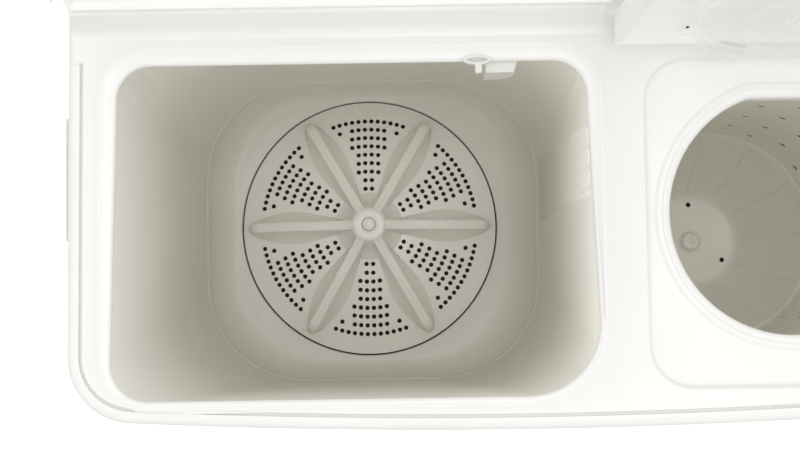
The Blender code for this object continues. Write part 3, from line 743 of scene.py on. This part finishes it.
clip = bmesh.new()
loop_outer, loop_inner = clip_loop(13, 4.6), clip_loop(9, 1.8)
loop_rings = [flat(loop_inner, DECK + 0.3), flat(loop_inner, DECK + 3)]
loop_rings += [flat(grown(loop_outer, -0.6), DECK + 3.6)]
loop_rings += [flat(loop_outer, DECK + 2.6), flat(loop_outer, DECK + 0.3)]
rings_into(clip, loop_rings)
peg = rect(-42.2, -35.8, 80, 90.5, 2, 5)
peg_rings = [flat(peg, DECK + 0.3), flat(peg, DECK + 3), flat(grown(peg, -0.9), DECK + 4.2)]
rings_into(clip, peg_rings, caps=(True, True))
wrap("filter_clip_hook", clip, filter_white, "machine", ["filter_clip"])
bag = [(-34, 84), (-10, 84), (-6, 96), (-10, 116), (-34, 116)]
pouch = bmesh.new()
bag_rings = []
for z, shrink in ((-12, 0.98), (-13, 1.03), (-17, 1.06), (-34, 1.04), (-50, 0.88), (-68, 0.5), (-76, 0.2)):
    left, front = -30 - 12 * shrink, 88 - 5 * shrink
    bag_rings.append([(left + (x + 44) * shrink, front + (y - 84) * shrink, DECK + z) for x, y in bag])
rings_into(pouch, bag_rings, caps=(True, True))
wrap("lint_filter_body", pouch, filter_white, "machine", ["lint_filter"])

panel = bmesh.new()
panel_rings = []
for z, out, in_by in ((478, 0.2, 0), (479, 0.7, 1.5), (782, 0.7, 1.5), (783, 0.2, 0)):
    right = TUB_MOUTH[1] - (TUB_MOUTH[1] - TUB_FOOT[1]) * (TUB_TOP - z) / (TUB_TOP - TUB_BEND) - 0.2
    ring = [(right, -25 + in_by), (right - out, -25 + in_by), (right - out, 42 - in_by), (right, 42 - in_by)]
    panel_rings.append(flat(ring, z))
rings_into(panel, panel_rings, caps=(True, True))
wrap("overflow_panel", panel, tub_painted_light, "machine", ["overflow_filter"])


# ------------------------------------------------------------------------------------------------
# Lids
# Two shallow white trays, each on a hinge along its rear edge, both standing open. Black patches in
# the spin lid's back wall are painted shade for the slots of its hinge posts. The wash lid is thin
# where it passes its hinge.

# The lids and spin hinges glow a little: painted light that brightens them.
lid_white_glowing = moulded(
    "lid_white_glowing", (0.905, 0.897, 0.865), 0.3, Emission_Color=(1, 0.99, 0.96, 1), Emission_Strength=0.12
)


def opened(shape, axis, degrees):
    y, z = axis
    turn = Matrix.Translation((0, y, z)) @ Matrix.Rotation(math.radians(-degrees), 4, "X")
    bmesh.ops.transform(shape, matrix=turn @ Matrix.Translation((0, -y, -z)), verts=shape.verts)


def tray(corners, rim, top, rim_height):
    """A tray upside down: a rolled edge, a flat top, and a thin wall whose foot may rise at the back."""
    shape = bmesh.new()
    middle = [sum(corner[axis] for corner in corners) / len(corners) for axis in (0, 1)]

    def ring(inset, z):
        moved = []
        for x, y, radius in corners:
            x -= math.copysign(inset, x - middle[0])
            y -= math.copysign(inset, y - middle[1])
            moved.append((x, y, max(0.4, radius - inset)))
        return [(x, y, max(z, rim_height(y))) for x, y in rounded(moved, 10, 24)]

    rings = [ring(2.4, rim), ring(0.4, rim), ring(0, rim + 0.6)]
    rings += [ring(7 * (1 - c), top - 7 + 7 * s) for c, s in arc(0, 90, 5)] + [ring(9, top)]
    rings_into(shape, rings, caps=(False, True))
    inner = [ring(2.4, rim), ring(3, rim + 2)]
    inner += [ring(3 + 4 * (1 - c), top - 7 + 4 * s) for c, s in arc(0, 90, 5)] + [ring(9, top - 3)]
    rings_into(shape, inner, caps=(False, True))
    return shape


WASH_LID_AXIS, WASH_LID_OPEN = (139, DECK + 24), 101
wash_lid_corners = ((76, 141.5, 2), (-393, 141.5, 2), (-393, -212, 44), (76, -212, 6))
wash_lid = tray(wash_lid_corners, DECK + 1, DECK + 33, lambda y: DECK + 21.5 if y > 76 else 0)
opened(wash_lid, WASH_LID_AXIS, WASH_LID_OPEN)
wrap("wash_lid_tray", wash_lid, lid_white_glowing, "wash_lid", ["wash_lid"])

SPIN_LID_AXIS, SPIN_LID_OPEN = (112, DECK + 14), 90
spin_lid_corners = ((392, 123.5, 3), (80, 123.5, 3), (80, -212, 6), (392, -212, 44))
spin_lid = tray(spin_lid_corners, DECK + 1, DECK + 36, lambda y: DECK + 1 + 0.8 * max(0, y - 116))
opened(spin_lid, SPIN_LID_AXIS, SPIN_LID_OPEN)
wrap("spin_lid_tray", spin_lid, lid_white_glowing, "spin_lid", ["spin_lid"])
# Black patches in the spin lid's back wall: painted shade for the slots of its hinge posts.
slot_shade = bmesh.new()
for x in (148, 324):
    mouth = rect(x - 5.5, x + 5.5, 112, 118, 1.2, 4)
    rings_into(slot_shade, [flat(mouth, DECK + 5.7), flat(mouth, DECK + 5.5)], caps=(True, True))
wrap("spin_lid_slot_shade", slot_shade, painted_hole_shade, "spin_lid")


# ------------------------------------------------------------------------------------------------
# Safety cover
# A clear round cover with three raised rings, on two ears at the back of the spin pan. It stands
# open inside the spin lid.

COVER_AXIS, COVER_OPEN = (90, DECK + 1), 94.6
# The clear cover and its frosted rings both glow a little: painted light that makes them read white.
clear_plastic_glowing = moulded(
    "cover_plastic", (0.95, 0.97, 0.98), 0.2, shade=0.98, Alpha=0.17,
    Emission_Color=(0.95, 0.98, 1, 1), Emission_Strength=0.04,
)
frosted_and_glowing = moulded(
    "cover_rings", (0.97, 0.975, 0.97), 0.3, shade=0.98, Alpha=0.5,
    Emission_Color=(1, 1, 1, 1), Emission_Strength=0.14,
)
cover_section = [(0, -4), (31, -4), (32, -2.4), (33.5, -2), (35, -2.4), (36, -4)]
cover_section += [(65.5, -4), (66.5, -2.4), (68, -2), (69.5, -2.4), (70.5, -4), (99, -4), (101, -0.6)]
cover_section += [(102.5, 0.6), (110, 1), (111.6, 0.2), (112, -1.5), (112, -5.6), (111, -6.1), (0, -6.1)]
cover = bmesh.new()
cover_rings = [flat(circle(SPIN_AXIS, max(0.05, r), 144), DECK + z) for r, z in cover_section]
rings_into(cover, cover_rings, caps=(True, True))
for x in (SPIN_AXIS[0] - 62, SPIN_AXIS[0] + 62):
    ear = rect(x - 12, x + 12, 30, 90, 4, 6)
    small_ear = grown(ear, -0.6)
    ear_rings = [flat(small_ear, DECK - 4), flat(ear, DECK - 3.4)]
    ear_rings += [flat(ear, DECK - 0.6), flat(small_ear, DECK)]
    rings_into(cover, ear_rings, caps=(True, True))
opened(cover, COVER_AXIS, COVER_OPEN)
wrap("cover_disc", cover, clear_plastic_glowing, "safety_cover", ["safety_cover"])
raised = bmesh.new()
for low, high, top in ((104, 111, 1.6), (66, 70, -1.4), (31.5, 35.5, -1.4)):
    rise = [(low, top - 1.6), (low + 0.8, top), (high - 0.8, top), (high, top - 1.6)]
    rings_into(raised, [flat(circle(SPIN_AXIS, r, 144), DECK + z) for r, z in rise])
opened(raised, COVER_AXIS, COVER_OPEN)
wrap("cover_raised_rings", raised, frosted_and_glowing, "safety_cover")


# ------------------------------------------------------------------------------------------------
# Console
# A white bar across the back with a sloped control panel. A grey-blue knob turns each timer and
# selector over a printed dial of plain ticks.

PANEL_LOW, PANEL_HIGH = (160, DECK + 33), (216, DECK + 59)
SLOPE = math.atan2(PANEL_HIGH[1] - PANEL_LOW[1], PANEL_HIGH[0] - PANEL_LOW[0])
PANEL_MIDDLE = 190
KNOB_FLUTES = 24
KNOBS = {"wash_timer": -270, "wash_selector": -150, "drain_selector": -30, "spin_timer": 240}

# Radius, height and depth of the flutes of each ring of a knob.
KNOB_SECTION = [(4, -19, 0), (4, 0.9, 0), (17.6, 0.9, 0), (20, 1.4, 0), (20, 4.2, 0), (19.4, 5, 0)]
KNOB_SECTION += [(17.6, 5.6, 0.35), (17, 17, 0.35), (16, 18, 0), (0.05, 18, 0)]

bar_section = [(151, 19.3), (229.5, 19.3), (229.5, 54), (228.6, 57), (226, 59)]
bar_section += [(216, 59), (162, 34), (159.6, 32), (152, 23.6), (151, 21.6)]
console = bmesh.new()
slices = []
for x, pull in ((-397, 2.2), (-396.2, 0.7), (-394.5, 0), (394.5, 0), (396.2, 0.7), (397, 2.2)):
    pulled = [(min(max(y, 151 + pull), 229.5 - pull), z - (pull if z > 25 else 0)) for y, z in bar_section]
    slices.append([(x, y, DECK + z) for y, z in pulled])
rings_into(console, slices, caps=(True, True))
console_white = moulded("console_white", WHITE, 0.3)
wrap("console_bar", console, console_white, "machine", ["console_shell"])

panel_grey = moulded("panel_grey", (0.62, 0.65, 0.68), 0.35)
dial_print = moulded("dial_print", (0.16, 0.19, 0.24), 0.5, grain=0.02)
knob_plastic = moulded("knob_plastic", (0.42, 0.46, 0.52), 0.3)
pointer_white = moulded("pointer_white", (0.9, 0.9, 0.88), 0.35)


def on_panel(x, y):
    """The frame of a dial on the sloped panel."""
    z = PANEL_LOW[1] + (y - PANEL_LOW[0]) * math.tan(SLOPE)
    return Matrix.Translation((x, y, z)) @ Matrix.Rotation(SLOPE, 4, "X")


def fluted(radius, z, depth):
    """A ring of a knob, with flutes of this depth."""
    points = []
    for i in range(144):
        turn = 2 * math.pi * i / 144
        reach = radius * (1 + depth * math.cos(KNOB_FLUTES * turn) / 17)
        points.append((reach * math.cos(turn), reach * math.sin(turn), z))
    return points


def on_dial(name, rings_of_pieces, x, material, body, stands_for=()):
    """Closed pieces in a dial's own frame, set on the panel as one."""
    shape = bmesh.new()
    for rings in rings_of_pieces:
        rings_into(shape, rings, caps=(True, True))
    bmesh.ops.transform(shape, matrix=on_panel(x, PANEL_MIDDLE), verts=shape.verts)
    wrap(name, shape, material, body, stands_for)


for n, (left, right) in enumerate(((-350, 50), (160, 320)), 1):
    face = rect(left, right, -26, 26, 9, 8)
    plate = [flat(face, 0.05), flat(face, 0.35), flat(grown(face, -0.4), 0.55)]
    on_dial(f"panel_strip_{n}", [plate], 0, panel_grey, "machine")
for name, x in KNOBS.items():
    knob = f"{name}_knob"
    grip = [fluted(*ring) for ring in KNOB_SECTION]
    on_dial(f"{name}_grip", [grip], x, knob_plastic, knob, [knob])
    mark = rect(-1.2, 1.2, 5, 15.5, 1, 4)
    pointer = [flat(mark, 17.8), flat(mark, 18.25)]
    on_dial(f"{name}_pointer", [pointer], x, pointer_white, knob)
    ticks = []
    start, step, count = (90, 20, 16) if name.endswith("timer") else (135, 45, 3)
    for i in range(count):
        turn = math.radians(start - i * step)
        c, s = math.cos(turn), math.sin(turn)
        end = 21.5 + (3.4 if i % 5 == 0 else 2)
        corners = ((-0.4, 21.5), (0.4, 21.5), (0.4, end), (-0.4, end))
        tick = [(across * s + out * c, out * s - across * c) for across, out in corners]
        ticks.append([flat(tick, 0.5), flat(tick, 0.75)])
    on_dial(f"{name}_ticks", ticks, x, dial_print, "machine")


# ------------------------------------------------------------------------------------------------
# Cabinet and the works inside
# A painted steel wrap on a grey tray with rubber feet. The motors, shafts, pulleys, belt, brake,
# mounts and valve keep their own solids, each in its real finish.


def metal(name, colour, roughness=0.3, stretch=(1, 1, 30)):
    """Drawn or plated metal with fine lines along it."""
    finish = Finish(name)
    lines = finish.noise(60.0, 4.0, stretch)
    dull = [channel * 0.75 for channel in colour]
    return finish.wear(
        Base_Color=finish.between(colour, dull, lines),
        Roughness=lines * 0.25 + roughness,
        Metallic=1.0,
        Normal=finish.bump(lines, 0.15),
    )


enamel = moulded("white_enamel", (0.86, 0.86, 0.84), 0.28, shade=0.97, grain=0.04)
# The side grips glow a little: painted light that brightens them.
grip_white_glowing = moulded(
    "grip_white_glowing", (0.9, 0.89, 0.86), 0.4, grain=0.3, Emission_Color=(1, 0.99, 0.96, 1), Emission_Strength=0.16
)
tray_grey = moulded("tray_grey", (0.16, 0.165, 0.17), 0.55, grain=0.4)
rubber = moulded("rubber_black", (0.022, 0.022, 0.022), 0.75, shade=0.7, grain=0.5)
black_plastic = moulded("black_plastic", (0.03, 0.03, 0.032), 0.45, grain=0.3)
tub_plastic = moulded("tub_plastic", (0.84, 0.825, 0.755), 0.3, shade=0.93, streaks=0.5)
zinc = metal("zinc_plate", (0.66, 0.66, 0.63), 0.28)
cast = metal("cast_alloy", (0.6, 0.6, 0.6), 0.42, (1, 1, 1))
motor_enamel = moulded("motor_enamel", (0.07, 0.075, 0.08), 0.4, grain=0.3)
pipe_grey = moulded("pipe_grey", (0.2, 0.205, 0.21), 0.5, grain=0.2)
for finish, nodes in (
    (enamel, "cabinet_shell back_panel"),
    (grip_white_glowing, "side_grip_left side_grip_right"),
    (tray_grey, "base_tray"),
    (rubber, "foot_front_left foot_front_right foot_back_left foot_back_right shaft_seal drive_belt"),
    (rubber, "bellows_seal spin_mount_1 spin_mount_2 spin_mount_3 drain_plug"),
    (black_plastic, "cord_gland wash_timer spin_timer wash_switch drain_switch lid_switch"),
    (zinc, "wash_shaft wash_motor_shaft spin_shaft motor_bracket spin_motor_plate brake_post"),
    (zinc, "back_screw_1 back_screw_2"),
    (cast, "gear_housing wash_pulley motor_pulley brake_drum"),
    (motor_enamel, "wash_motor spin_motor"),
    (pipe_grey, "drain_outlet inlet_port brake_lever"),
    (tub_plastic, "drain_valve_body"),
    (lid_white_glowing, "spin_hinge_left spin_hinge_right"),
):
    for node in nodes.split():
        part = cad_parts[node]
        part.data.materials.clear()
        part.data.materials.append(finish)
